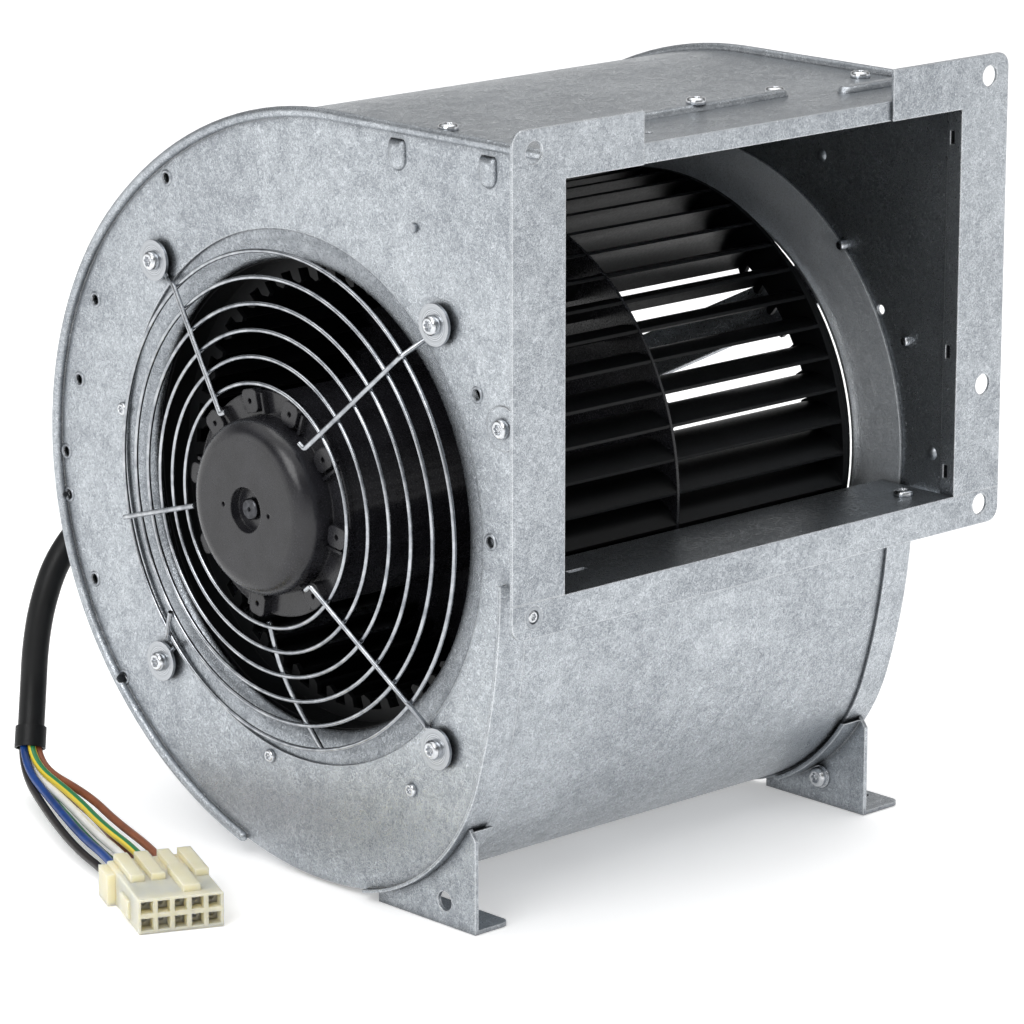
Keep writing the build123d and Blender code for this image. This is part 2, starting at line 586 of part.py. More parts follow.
cuff_end = Vector(*cord_route[-1])
cuff_way = (cuff_end - Vector(*cord_route[-2])).normalized()
cuff_plane = Plane(origin=cuff_end - cuff_way * 5, x_dir=(0.88, -0.48, 0), z_dir=cuff_way)
cuff_face = Circle(cord_d / 2 + 0.9) - Circle(cord_d / 2 + 0.05)
save_cord("cable_cuff", extrude(cuff_plane * cuff_face, amount=8.5))

clip_angle = atan2(clip_z - wall_centre_z, clip_y - shift_y - wall_arc.arc_center.X)
clip_turn = degrees(clip_angle)
strap = Pos(clip_reach, 0) * (Circle(clip_in + clip_ring) - Circle(clip_in))
tail_arcs = [CenterArc((0, 0), wall_arc.radius + lift, -7.5, 7.5) for lift in (0, clip_ring)]
tail = make_face(tail_arcs + [Line(tail_arcs[0] @ t, tail_arcs[1] @ t) for t in (0, 1)])
clip_plane = Plane.YZ.offset(clip_x - 4)
clip_spot = Pos(0, wall_arc.arc_center.X + shift_y, wall_centre_z) * Rot(clip_turn, 0, 0)
clip_solid = clip_spot * extrude(clip_plane * (strap + tail), amount=8)
clip_rivet_spot = Rot(-5.2, 0, 0) * Pos(clip_x, wall_arc.radius + clip_ring, 0) * Rot(-90, 0, 0)
clip_rivet_solid = clip_spot * clip_rivet_spot * rivet(2.4, 1.1, 1.5, 2.4)
clip_bore = clip_spot * clip_rivet_spot * Cylinder(1.5, 8)
save_cord("cable_clip", clip_solid - clip_bore)
save_cord("clip_rivet", clip_rivet_solid)
wrapper -= Pos(-shift_x, -shift_y, 0) * clip_bore
save("scroll_wrapper", wrapper)

# Plug housing with two rows of five sockets
plug_front = (-177.1 + shift_x, -17.4 + shift_y)
plug_plane = Plane(origin=(*plug_front, 0), x_dir=(0.907, -0.421, 0), z_dir=(0, 0, 1))
plug_place = Location(plug_plane)
socket = 4.6
rows = (3.6, 3.6 + plug_pitch)
columns = [plug_pitch * (i - 2) for i in range(5)]
low_corner = (Align.CENTER, Align.MIN, Align.MIN)
body = Box(plug_width, plug_length, plug_height, align=low_corner)
body = fillet(body.edges().filter_by(Axis.Y), 0.6)
ridge_height = 2.6
for x, start in ((-11.0, 20.0), (-3.2, 20.0), (13.2, 20.0)):
    body += Pos(x, start, plug_height - 1) * Box(5.2, plug_length - start, ridge_height + 1, align=low_corner)
body += Pos(5.2, 4, plug_height - 1) * Box(6.4, 24, ridge_height + 1, align=low_corner)
body += Pos(5.2, 20, plug_height - 1) * Box(4.6, plug_length - 20, ridge_height + 1, align=low_corner)
body += Pos(-plug_width / 2 - 1.6, 34, 0.4) * Box(3.4, plug_length - 34, plug_height - 1.4, align=low_corner)
body += Pos(-plug_width / 2 - 0.5, 12, 2) * Box(1.2, 12, 7, align=low_corner)
socket_depth = 32.0
for x in columns:
    for z in rows:
        body -= Pos(x, 0, z) * Box(socket, 2 * socket_depth, socket)
wires = (("wire_black", 0.0, -1.5, 3.05, 210, 0, 0), ("wire_blue", 0.17, 1.5, 3.05, 150, 0, 1),
         ("wire_green", 0.34, -1.5, 3.05, 270, 1, 0), ("wire_white", 0.5, 0.4, 0.0, 0, 1, 1),
         ("wire_yellow_green", 0.67, 2.4, 3.05, 90, 2, 1), ("wire_brown_low", 0.83, -1.5, 3.05, 330, 2, 0),
         ("wire_brown_top", 1.0, 1.5, 3.05, 30, 3, 1))
wire_fit = wire_d / 2 + 0.05
terminals = []
for name, share, layer, pack_r, pack_angle, column, row in wires:
    x, z = columns[column], rows[row]
    body -= Pos(x, plug_length, z) * Rot(90, 0, 0) * Cylinder(wire_fit, 2 * (plug_length - socket_depth) + 2)
    block = Pos(x, socket_depth - 12, z) * Box(socket, 12, socket, align=(Align.CENTER, Align.MIN, Align.CENTER))
    block -= Pos(x, socket_depth - 12, z) * Rot(90, 0, 0) * Cylinder(1.2, 16)
    terminals.append(plug_place * block)
save_cord("plug_housing", plug_place * body)
save_cord("plug_terminals", *terminals)

left_route = ((-141, 101, 8.5), (-155, 66, 6.5))
right_route = ((-121, 102, 9.5), (-131, 73, 8.0))
for name, share, layer, pack_r, pack_angle, column, row in wires:
    offset_u, offset_v = polar(pack_r, pack_angle)
    start = cuff_plane.from_local_coords((offset_u, offset_v, 5.0))
    leave = cuff_plane.from_local_coords((offset_u, offset_v, 16.5 - 0.58 * offset_v))
    middle = [[a + (b - a) * share for a, b in zip(left, right)] for left, right in zip(left_route, right_route)]
    middle = [(x, y, z + layer) for x, y, z in middle]
    rear = plug_plane.from_local_coords((columns[column], plug_length + 14, rows[row]))
    deep = plug_plane.from_local_coords((columns[column], socket_depth, rows[row]))
    route = [tuple(start), tuple(leave), *middle, tuple(rear), tuple(deep)]
    print(name, [tuple(round(value, 1) for value in point) for point in route])
    save_cord(name, cord(name, route, wire_d))
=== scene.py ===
"""Looks of a double inlet centrifugal fan: sheet metal, wheel, motor, guard, screws, cord and studio."""

import json
import math

import bmesh
import bpy
import numpy as np
from bpy.props import FloatProperty, FloatVectorProperty, PointerProperty, StringProperty
from bpy.types import Operator, Panel, PropertyGroup
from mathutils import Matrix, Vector


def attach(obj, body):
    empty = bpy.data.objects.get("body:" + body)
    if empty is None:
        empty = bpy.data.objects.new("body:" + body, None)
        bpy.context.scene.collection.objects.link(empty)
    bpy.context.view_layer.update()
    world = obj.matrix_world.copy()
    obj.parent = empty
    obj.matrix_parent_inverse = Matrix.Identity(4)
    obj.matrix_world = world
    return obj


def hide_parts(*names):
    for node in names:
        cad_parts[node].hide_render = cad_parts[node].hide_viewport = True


bl_info = {
    "name": "Centrifugal Fan Looks",
    "version": (1, 0, 0),
    "blender": (4, 5, 0),
    "location": "3D View > Sidebar > Fan",
    "description": "Dresses a packed centrifugal fan in its real finishes",
    "category": "Object",
}

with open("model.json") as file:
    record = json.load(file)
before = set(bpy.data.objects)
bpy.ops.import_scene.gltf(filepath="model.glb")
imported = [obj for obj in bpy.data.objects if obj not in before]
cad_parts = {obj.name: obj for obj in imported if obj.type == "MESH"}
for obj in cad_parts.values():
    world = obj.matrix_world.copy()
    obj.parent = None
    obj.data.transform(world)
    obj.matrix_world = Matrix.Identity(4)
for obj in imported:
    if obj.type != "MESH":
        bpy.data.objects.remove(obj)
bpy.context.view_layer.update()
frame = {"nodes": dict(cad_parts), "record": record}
NODES = frame["nodes"]
SLOT_NODES = {}
for part in frame["record"]["subparts"]:
    SLOT_NODES.setdefault(part["material_slot"], []).append(part["node"])

MM = 0.001
# From the housing's own frame, centred on the shaft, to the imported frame
SHIFT = np.array((1.8, -2.7, 0.0))
SHAFT_HEIGHT = 145.5
SHAFT_LINE = (SHIFT[1] * MM, SHAFT_HEIGHT * MM)
PLATE_OUT = 104.6
MOUNT_R = 110.2
MOUNT_ANGLES = (45, 135, 225, 315)
HUB_R = 28.0
HUB_ANGLES = (0, 90, 180, 270)
ROOF_TOP = 290.32
FRONT = -138.0
SILL_TOP = 136.0

# Sizes in the zinc's pattern, in millimetres
FLECK_MM = 1.1
SMEAR_MM = 4.0
CLOUD_MM = 30.0
ROLLED_EDGE_MM = 0.8
# Reach of the painted shade that darkens creases
CREASE_MM = 4.5
# Colour of the painted highlight on corners
PAINTED_HIGHLIGHT_ZINC = "f0f3f6"

# Points round a ring of a new shape
RING = 48


def linear(hex_code):
    """The sRGB colour of a hex code such as b8bcc0, as linear red, green, blue and alpha one."""
    tones = [int(hex_code[i:i + 2], 16) / 255 for i in (0, 2, 4)]
    return tuple(t / 12.92 if t <= 0.04045 else ((t + 0.055) / 1.055) ** 2.4 for t in tones) + (1.0,)


def add_node(tree, kind, inputs=None, **settings):
    """Adds a node with its settings. For each input, a socket is linked to it and any other value is set."""
    made = tree.nodes.new(kind)
    for name, value in settings.items():
        setattr(made, name, value)
    for socket, value in (inputs or {}).items():
        if isinstance(value, bpy.types.NodeSocket):
            tree.links.new(value, made.inputs[socket])
        else:
            made.inputs[socket].default_value = value
    return made


def new_tree(name):
    """An empty node material of that name, and its tree."""
    material = bpy.data.materials.new(name)
    material.use_nodes = True
    material.node_tree.nodes.clear()
    return material, material.node_tree


def finish_shader(tree, inputs):
    """A Principled shader with those inputs, put on the material's output."""
    shader = add_node(tree, "ShaderNodeBsdfPrincipled", inputs)
    add_node(tree, "ShaderNodeOutputMaterial", {"Surface": shader.outputs[0]})
    return shader


def blend_tones(tree, factor, first, second):
    """The colour between two hex codes or colour sockets that a factor picks."""
    ends = [linear(tone) if isinstance(tone, str) else tone for tone in (first, second)]
    return add_node(tree, "ShaderNodeMix", {0: factor, 6: ends[0], 7: ends[1]}, data_type="RGBA").outputs[2]


def spread(tree, value, low, high, from_low=0.0, from_high=1.0):
    """A value stretched from one range to another, held at the ends."""
    inputs = {0: value, 1: from_low, 2: from_high, 3: low, 4: high}
    return add_node(tree, "ShaderNodeMapRange", inputs).outputs[0]


def grain(tree, place, size_mm, detail=3.0, rough=0.55):
    """Cloudy noise whose lumps are about that many millimetres across."""
    inputs = {"Vector": place, "Scale": 1 / (2 * size_mm * MM), "Detail": detail, "Roughness": rough}
    return add_node(tree, "ShaderNodeTexNoise", inputs).outputs[0]


def object_place(tree):
    """The place of a point in the object's own frame, in metres."""
    return add_node(tree, "ShaderNodeTexCoord").outputs["Object"]


def turned_place(tree):
    """Object coordinates as length along the shaft, distance from it, and angle round it made a length."""
    to_shaft = (0, -SHAFT_LINE[0], -SHAFT_LINE[1])
    centre = add_node(tree, "ShaderNodeMapping", {0: object_place(tree), 1: to_shaft})
    axes = add_node(tree, "ShaderNodeSeparateXYZ", {0: centre.outputs[0]})
    flat = add_node(tree, "ShaderNodeCombineXYZ", {1: axes.outputs[1], 2: axes.outputs[2]})
    radius = add_node(tree, "ShaderNodeVectorMath", {0: flat.outputs[0]}, operation="LENGTH")
    angle = add_node(tree, "ShaderNodeMath", {0: axes.outputs[2], 1: axes.outputs[1]}, operation="ARCTAN2")
    drawn_out = spread(tree, angle.outputs[0], -0.012, 0.012, -math.pi, math.pi)
    inputs = {0: axes.outputs[0], 1: radius.outputs["Value"], 2: drawn_out}
    return add_node(tree, "ShaderNodeCombineXYZ", inputs).outputs[0]


def soft_edges(tree, radius_mm):
    """A normal that rounds every corner by that radius, as rolled and sheared edges are."""
    return add_node(tree, "ShaderNodeBevel", {"Radius": radius_mm * MM}, samples=4).outputs[0]


def painted_highlights_and_crease_shade(tree, colour, rounded, highlight_tone, crease_mm):
    """A metal's colour with painted shade in creases, and a painted highlight where the rounded normal leaves
    the true one.
    """
    facing = add_node(tree, "ShaderNodeNewGeometry").outputs["Normal"]
    same = add_node(tree, "ShaderNodeVectorMath", {0: rounded, 1: facing}, operation="DOT_PRODUCT")
    # Painted highlight: corners are lightened towards a pale zinc
    corner = spread(tree, same.outputs["Value"], 0.75, 0, 0.9, 0.995)
    highlighted = blend_tones(tree, corner, colour, highlight_tone)
    # Painted shade: the colour is darkened where ambient occlusion finds a crease
    open_sky = add_node(tree, "ShaderNodeAmbientOcclusion", {"Distance": crease_mm * MM}, samples=5)
    crease_shade = spread(tree, open_sky.outputs["AO"], 0.16, 1, 0.3, 0.88)
    return add_node(tree, "ShaderNodeVectorMath", {0: highlighted, 3: crease_shade}, operation="SCALE").outputs[0]


def spangled(name, bright, dark, place_of, rough_low, rough_high, spangle_mm, metallic):
    """Hot dip galvanised sheet: zinc crystals of slightly different grey and gloss, clouded by handling."""
    material, tree = new_tree(name)
    place = object_place(tree)
    inputs = {"Vector": place, "Scale": 1 / (spangle_mm * MM), "Randomness": 1.0}
    cell = add_node(tree, "ShaderNodeTexVoronoi", inputs)
    crystal = add_node(tree, "ShaderNodeSeparateColor", {0: cell.outputs["Color"]}).outputs[0]
    inputs = {"Vector": place, "Scale": 1 / (FLECK_MM * MM), "Detail": 2.0, "Distortion": 2.2}
    fleck = spread(tree, add_node(tree, "ShaderNodeTexNoise", inputs).outputs[0], 0, 1, 0.38, 0.62)
    smear = spread(tree, grain(tree, place, SMEAR_MM, 3.0, 0.6), 0, 1, 0.32, 0.68)
    cloud = spread(tree, grain(tree, place_of(tree), CLOUD_MM, 3.0), 0, 1, 0.3, 0.7)
    # Each pattern is added to the finer ones with its own share
    tone = fleck
    for pattern, share in ((crystal, 0.4), (smear, 0.45), (cloud, 0.5)):
        mottle = tone
        inputs = {0: pattern, 1: share, 2: mottle}
        tone = add_node(tree, "ShaderNodeMath", inputs, operation="MULTIPLY_ADD").outputs[0]
    rounded = soft_edges(tree, ROLLED_EDGE_MM)
    zinc = blend_tones(tree, spread(tree, tone, 0, 1, 0.4, 2.0), dark, bright)
    # Painted shade in creases and painted highlights on corners
    colour = painted_highlights_and_crease_shade(tree, zinc, rounded, PAINTED_HIGHLIGHT_ZINC, CREASE_MM)
    rough = spread(tree, mottle, rough_high, rough_low, 0.2, 1.7)
    bump = add_node(tree, "ShaderNodeBump", {"Strength": 0.8, "Distance": 0.05 * MM, "Height": mottle,
                                             "Normal": rounded}).outputs[0]
    finish_shader(tree, {"Base Color": colour, "Metallic": metallic, "Roughness": rough, "Normal": bump})
    return material


def turned_washer(name, bright, dark, ring_mm):
    """Turned steel with fine rings round each of the four screws, which lie the same way in each quarter."""
    material, tree = new_tree(name)
    place = object_place(tree)
    to_shaft = (0, -SHAFT_LINE[0], -SHAFT_LINE[1])
    centred = add_node(tree, "ShaderNodeVectorMath", {0: place, 1: to_shaft}, operation="ADD").outputs[0]
    folded = add_node(tree, "ShaderNodeVectorMath", {0: centred}, operation="ABSOLUTE").outputs[0]
    across = MOUNT_R * MM * math.sqrt(0.5)
    screw = (0, across, across)
    local = add_node(tree, "ShaderNodeVectorMath", {0: folded, 1: screw}, operation="SUBTRACT").outputs[0]
    flat = add_node(tree, "ShaderNodeVectorMath", {0: local, 1: (0, 1, 1)}, operation="MULTIPLY").outputs[0]
    radius = add_node(tree, "ShaderNodeVectorMath", {0: flat}, operation="LENGTH").outputs["Value"]
    rings = add_node(tree, "ShaderNodeTexNoise", {"W": radius, "Scale": 1 / (ring_mm * MM), "Detail": 3.0},
                     noise_dimensions="1D").outputs[0]
    colour = blend_tones(tree, spread(tree, rings, 0, 1, 0.3, 0.7), dark, bright)
    bump = add_node(tree, "ShaderNodeBump", {"Strength": 0.5, "Distance": 0.02 * MM, "Height": rings,
                                             "Normal": soft_edges(tree, 0.3)}).outputs[0]
    finish_shader(tree, {"Base Color": colour, "Metallic": 1.0, "Roughness": spread(tree, rings, 0.34, 0.24),
                         "Normal": bump})
    return material


def drawn_metal(name, bright, dark, rough, grain_mm, depth_mm=0.01):
    """Bare or plated metal with fine cloudy wear."""
    material, tree = new_tree(name)
    place = object_place(tree)
    cloud = grain(tree, place, grain_mm, 5.0, 0.6)
    colour = blend_tones(tree, spread(tree, cloud, 0, 1, 0.3, 0.7), dark, bright)
    bump = add_node(tree, "ShaderNodeBump", {"Strength": 0.3, "Distance": depth_mm * MM, "Height": cloud,
                                             "Normal": soft_edges(tree, 0.3)}).outputs[0]
    gloss = spread(tree, cloud, rough + 0.1, rough)
    finish_shader(tree, {"Base Color": colour, "Metallic": 1.0, "Roughness": gloss, "Normal": bump})
    return material


def moulded(name, bright, dark, rough, grain_mm, depth_mm, specular=0.35, edge_mm=0.3):
    """Moulded or coated plastic: a fine pore pattern in gloss and height."""
    material, tree = new_tree(name)
    place = object_place(tree)
    pores = grain(tree, place, grain_mm, 3.0)
    cloud = grain(tree, place, 14 * grain_mm, 2.0)
    colour = blend_tones(tree, spread(tree, cloud, 0, 1, 0.3, 0.7), dark, bright)
    bump = add_node(tree, "ShaderNodeBump", {"Strength": 0.4, "Distance": depth_mm * MM, "Height": pores,
                                             "Normal": soft_edges(tree, edge_mm)}).outputs[0]
    gloss = spread(tree, pores, rough - 0.06, rough + 0.08, 0.3, 0.7)
    finish_shader(tree, {"Base Color": colour, "Roughness": gloss, "Specular IOR Level": specular,
                         "Normal": bump})
    return material


def skin(name, grid, closed_rows=False):
    """A mesh over grids of points, of shape copies, rows, columns, 3: each row closes into a ring, and the
    rows close into a torus too if asked. Points that fall together become one pole."""
    copies, rows, columns, _ = grid.shape
    row, column = np.meshgrid(np.arange(rows if closed_rows else rows - 1), np.arange(columns), indexing="ij")
    row_after, column_after = (row + 1) % rows, (column + 1) % columns
    corners = ((row, column), (row_after, column), (row_after, column_after), (row, column_after))
    quads = np.stack([r * columns + c for r, c in corners], -1).reshape(-1, 4)
    quads = (quads[None] + (np.arange(copies) * rows * columns)[:, None, None]).reshape(-1, 4)
    mesh = bpy.data.meshes.new(name)
    mesh.from_pydata(grid.reshape(-1, 3).tolist(), [], quads.tolist())
    shell = bmesh.new()
    shell.from_mesh(mesh)
    bmesh.ops.remove_doubles(shell, verts=shell.verts, dist=2e-6)
    bmesh.ops.recalc_face_normals(shell, faces=shell.faces)
    shell.to_mesh(mesh)
    shell.free()
    mesh.shade_smooth()
    mesh.set_sharp_from_angle(angle=math.radians(50))
    made = bpy.data.objects.new(name, mesh)
    bpy.context.scene.collection.objects.link(made)
    return made


def stand(shape, spots, axis, up=(0, 0, 1)):
    """Copies of a shape, one at each spot, with its Z axis along the given axis and its Y axis up: the shape
    times those axes, plus the spot, from millimetres in the housing's frame to metres."""
    axis, up = np.array(axis, float), np.array(up, float)
    basis = np.stack((np.cross(up, axis), up, axis))
    return ((shape @ basis)[None] + (np.array(spots, float) + SHIFT)[:, None, None, :]) * MM


def turned_shape(profile, columns=RING, lobes=None):
    """A profile of radius and height rows turned round Z. Where lobes is set for a row, its ring is a star of
    six lobes: radius times one plus lobe times the cosine of six times the angle."""
    profile = np.array(profile, float)
    angle = np.arange(columns) * 2 * np.pi / columns
    wave = np.zeros(len(profile)) if lobes is None else np.array(lobes, float)
    radius = profile[:, :1] * (1 + wave[:, None] * np.cos(6 * angle))
    height = np.repeat(profile[:, 1:], columns, 1)
    return np.stack((radius * np.cos(angle), radius * np.sin(angle), height), -1)


def star_screw(head_r, height, shank_r, length):
    """A pan head screw with a six lobed socket: the socket's floor and wall, the domed head as a quarter
    ellipse, its flat underside and a plain shank."""
    socket_r = 0.46 * head_r
    floor = height * 0.4
    turn = np.linspace(0, np.pi / 2, 7)
    dome_in = socket_r * 1.3
    dome = np.stack((dome_in + (head_r - dome_in) * np.sin(turn), height * (0.35 + 0.65 * np.cos(turn))), 1)
    inner = [(0, floor), (socket_r * 0.92, floor), (socket_r, floor + 0.1), (socket_r, height - 0.25),
             (socket_r * 1.07, height - 0.05)]
    outer = [(head_r, 0.05), (head_r - 0.05, 0), (shank_r, 0), (shank_r, -length + 0.5),
             (shank_r - 0.5, -length), (0, -length)]
    star = [0, 0.14, 0.14, 0.14, 0.1] + [0] * (len(dome) + len(outer))
    return turned_shape(inner + dome.tolist() + outer, RING, star)


def socket_floor(half, depth):
    """The floor of a square cavity with a round pit: rings whose radius goes from a circle's at the pit to a
    square's outside, one over the larger of the cosine and the sine."""
    angle = np.arange(RING) * 2 * np.pi / RING
    square = 1 / np.maximum(np.abs(np.cos(angle)), np.abs(np.sin(angle)))
    share = np.array((0, 0.4, 0.46, 0.75, 1.0, 1.0, 0))
    squareness = np.array((0, 0, 0, 0.6, 1, 1, 1))
    height = np.array((-0.7, -0.7, -0.05, 0, 0, -1, -1)) * depth
    radius = half * share[:, None] * (1 + squareness[:, None] * (square - 1))
    return np.stack((radius * np.cos(angle), radius * np.sin(angle), np.repeat(height[:, None], RING, 1)), -1)


def pressed(half_width, straight, lift, square_end=False):
    """A swelling pressed out of a sheet: rings of its outline, half round below and half round or square
    above its straight sides, each drawn in by its share and lifted by its height, rolling into the sheet."""
    angle = np.arange(RING) * 2 * np.pi / RING
    c, s = np.cos(angle), np.sin(angle)
    upper = s > 0
    share = np.array((0, 0.4, 0.62, 0.78, 0.9, 1.0, 1.0))[:, None]
    height = np.array((1, 0.98, 0.9, 0.7, 0.4, 0.05, -0.3))[:, None] * lift
    if square_end:
        x = share * half_width * np.where(upper, np.sign(c) * np.abs(c) ** 0.3, c)
        y = np.where(upper, (straight - (1 - share) * half_width) * np.abs(s) ** 0.3, share * half_width * s)
    else:
        x = share * half_width * c
        y = np.where(upper, straight, 0) + share * half_width * s
    return np.stack((x, y, np.repeat(height, RING, 1)), -1)


def polar(radius, angle):
    """Across and up to a point at that radius and angle in degrees from the shaft, in the housing's frame."""
    return radius * math.cos(math.radians(angle)), SHAFT_HEIGHT + radius * math.sin(math.radians(angle))


def add_piece(piece, material, body, slot_name, *nodes):
    """Gives a finished piece its material and body, and hides the CAD nodes that it stands for. Its slot name
    is not used.
    """
    piece.data.materials.append(material)
    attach(piece, body)
    if nodes:
        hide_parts(*nodes)


class FanSheetLook(PropertyGroup):
    """Colours of the galvanised sheet."""
    zinc_bright: StringProperty(name="Bright zinc", description="Hex colour of the brightest crystals",
                                default="c4c9ce")
    zinc_dark: StringProperty(name="Dull zinc", description="Hex colour of the dullest crystals",
                              default="868b91")
    spangle: FloatProperty(name="Spangle", description="Size of one zinc crystal in millimetres", default=1.5,
                           min=0.5)


class FanCordLook(PropertyGroup):
    """Sizes of the power cord."""
    sheath: FloatProperty(name="Sheath", description="Diameter of the cord's sheath", default=0.0105,
                          unit="LENGTH")
    wire: FloatProperty(name="Wire", description="Diameter of one wire", default=0.0032, unit="LENGTH")


class FanStudioLook(PropertyGroup):
    """Floor and light of the studio."""
    floor: FloatVectorProperty(name="Floor", description="Colour of the floor", subtype="COLOR", size=3,
                               default=linear("f7f7f7")[:3])
    floor_lift: FloatProperty(name="Floor lift", default=0.33, min=0,
                              description="Light added to the floor as the camera sees it")
    mirror_lift: FloatProperty(name="Mirrored lift", default=0.34, min=0,
                               description="Light added to the floor as metal mirrors it")
    fill: FloatProperty(name="Fill", description="Strength of the soft light from all round", default=0.95,
                        min=0)
    key: FloatProperty(name="Key lamp", description="Power of the large lamp", default=14.0, unit="POWER")


# The photograph's view: angles in radians, distance in metres, and what it looks at: metres across the picture
# and up it from the middle of the shaft, and a height above the floor
CAMERA_AZIMUTH = -0.753
CAMERA_ELEVATION = 0.2524
CAMERA_DISTANCE = 1.87134
CAMERA_LENS = 172.41
SENSOR_WIDTH = 36
CAMERA_TARGET = (0.00232, -0.01261, 0.135)
FARTHEST_SEEN = 20


class FAN_OT_camera(Operator):
    """Sets up the camera at the photograph's viewing angle"""
    bl_idname = "fan.camera"
    bl_label = "Camera"

    def execute(self, context):
        flat = math.cos(CAMERA_ELEVATION)
        back = Vector((math.sin(CAMERA_AZIMUTH) * flat, -math.cos(CAMERA_AZIMUTH) * flat,
                       math.sin(CAMERA_ELEVATION)))
        right = (-back).cross(Vector((0, 0, 1))).normalized()
        up = right.cross(-back)
        across, upward, height = CAMERA_TARGET
        target = Vector((SHIFT[0] * MM, SHIFT[1] * MM, height)) + right * across + up * upward
        data = bpy.data.cameras.new("photo_camera")
        data.lens = CAMERA_LENS
        data.sensor_width = SENSOR_WIDTH
        data.clip_end = FARTHEST_SEEN
        camera = bpy.data.objects.new("photo_camera", data)
        camera.location = target + back * CAMERA_DISTANCE
        camera.rotation_euler = (-back).to_track_quat("-Z", "Y").to_euler()
        context.scene.collection.objects.link(camera)
        context.scene.camera = camera
        return {"FINISHED"}


# Control points of cord and wires in millimetres, from the motor to the plug, and their lengths in metres
SHEATH_ROUTE = (
    (6, -2.7, 145.5), (46, -2.7, 145.5), (70, -1.5, 143.5), (94, 6, 140.5), (116, 24, 137), (129, 54, 133.5),
    (132, 88, 130.5), (132, 123.7, 127.6), (123.8, 143.6, 125.9), (108.6, 158.8, 124.2), (88.7, 167, 122.4),
    (64, 167, 120.6), (7.6, 142.8, 118.4), (-20, 142.8, 118.4), (-53, 151, 114.5), (-76, 154.5, 105),
    (-92, 155.5, 90.5), (-100.5, 155.3, 73), (-104.7, 155, 56), (-107.6, 153.2, 39), (-114.4, 146.8, 22))
WIRE_ROUTES = {
    "wire_black": ((-116.0, 149.4, 21.6), (-120.3, 145.3, 10.8), (-141.0, 101.0, 7.0),
                   (-155.0, 66.0, 5.0), (-161.0, 40.5, 3.6), (-173.3, 14.2, 3.6)),
    "wire_blue": ((-117.3, 147.0, 23.1), (-121.0, 143.5, 13.8), (-137.6, 101.2, 10.2),
                  (-150.9, 67.2, 8.3), (-161.0, 40.5, 9.9), (-173.3, 14.2, 9.9)),
    "wire_green": ((-113.1, 149.2, 20.6), (-117.8, 144.8, 9.0), (-134.2, 101.3, 7.3),
                   (-146.8, 68.4, 5.5), (-155.3, 37.9, 3.6), (-167.5, 11.6, 3.6)),
    "wire_white": ((-114.4, 146.8, 22.0), (-118.4, 143.0, 11.9), (-131.0, 101.5, 9.4),
                   (-143.0, 69.5, 7.7), (-155.3, 37.9, 9.9), (-167.5, 11.6, 9.9)),
    "wire_yellow_green": ((-115.7, 144.4, 23.4), (-119.1, 141.2, 14.9), (-127.6, 101.7, 11.6),
                          (-138.9, 70.7, 9.9), (-149.6, 35.2, 9.9), (-161.8, 8.9, 9.9)),
    "wire_brown_low": ((-111.5, 146.6, 20.9), (-115.9, 142.5, 10.1), (-124.4, 101.8, 7.8),
                       (-135.1, 71.8, 6.2), (-149.6, 35.2, 3.6), (-161.8, 8.9, 3.6)),
    "wire_brown_top": ((-112.8, 144.2, 22.4), (-116.6, 140.7, 13.1), (-121.0, 102.0, 11.0),
                       (-131.0, 73.0, 9.5), (-143.9, 32.6, 9.9), (-156.1, 6.3, 9.9)),
}
WIRE_TONES = {
    "wire_black": ("2a2524", "1c1817"),
    "wire_blue": ("07408a", "052f68"),
    "wire_green": ("1f7d4f", "166340"),
    "wire_white": ("f4f3ee", "e6e5de"),
    "wire_yellow_green": ("e8cf3e", "1c7a48"),
    "wire_brown_low": ("8a5238", "74432e"),
    "wire_brown_top": ("94583c", "7c4831"),
}


def striped(name, first, second, rough, grain_mm, depth_mm):
    """Two coloured wire insulation: stripes of both colours run along the wire by the curve's own UV map."""
    material, tree = new_tree(name)
    around = add_node(tree, "ShaderNodeSeparateXYZ", {0: add_node(tree, "ShaderNodeTexCoord").outputs["UV"]})
    inputs = {0: around.outputs[1], 1: STRIPES * 2 * math.pi}
    turned = add_node(tree, "ShaderNodeMath", inputs, operation="MULTIPLY").outputs[0]
    wave = add_node(tree, "ShaderNodeMath", {0: turned}, operation="SINE").outputs[0]
    stripe = spread(tree, wave, 0, 1, 0.22, 0.38)
    pores = grain(tree, object_place(tree), grain_mm)
    inputs = {"Strength": 0.4, "Distance": depth_mm * MM, "Height": pores}
    bump = add_node(tree, "ShaderNodeBump", inputs).outputs[0]
    finish_shader(tree, {"Base Color": blend_tones(tree, stripe, first, second), "Normal": bump,
                         "Roughness": spread(tree, pores, rough - 0.06, rough + 0.08, 0.3, 0.7)})
    return material


def round_cord(name, route, diameter):
    """A round cord: a circle carried along a smooth NURBS line that has the route as its control points."""
    data = bpy.data.curves.new(name, "CURVE")
    data.dimensions = "3D"
    line = data.splines.new("NURBS")
    line.points.add(len(route) - 1)
    places = np.ones((len(route), 4))
    places[:, :3] = np.array(route) * MM
    line.points.foreach_set("co", places.ravel())
    line.order_u = 3
    line.use_endpoint_u = True
    line.resolution_u = 8
    data.bevel_depth = diameter / 2
    data.bevel_resolution = 5
    data.use_fill_caps = True
    cord = bpy.data.objects.new(name, data)
    bpy.context.scene.collection.objects.link(cord)
    return cord


def dress(slot_name, material):
    """Gives a material to every CAD node of a material slot."""
    for name in SLOT_NODES[slot_name]:
        NODES[name].data.materials.clear()
        NODES[name].data.materials.append(material)


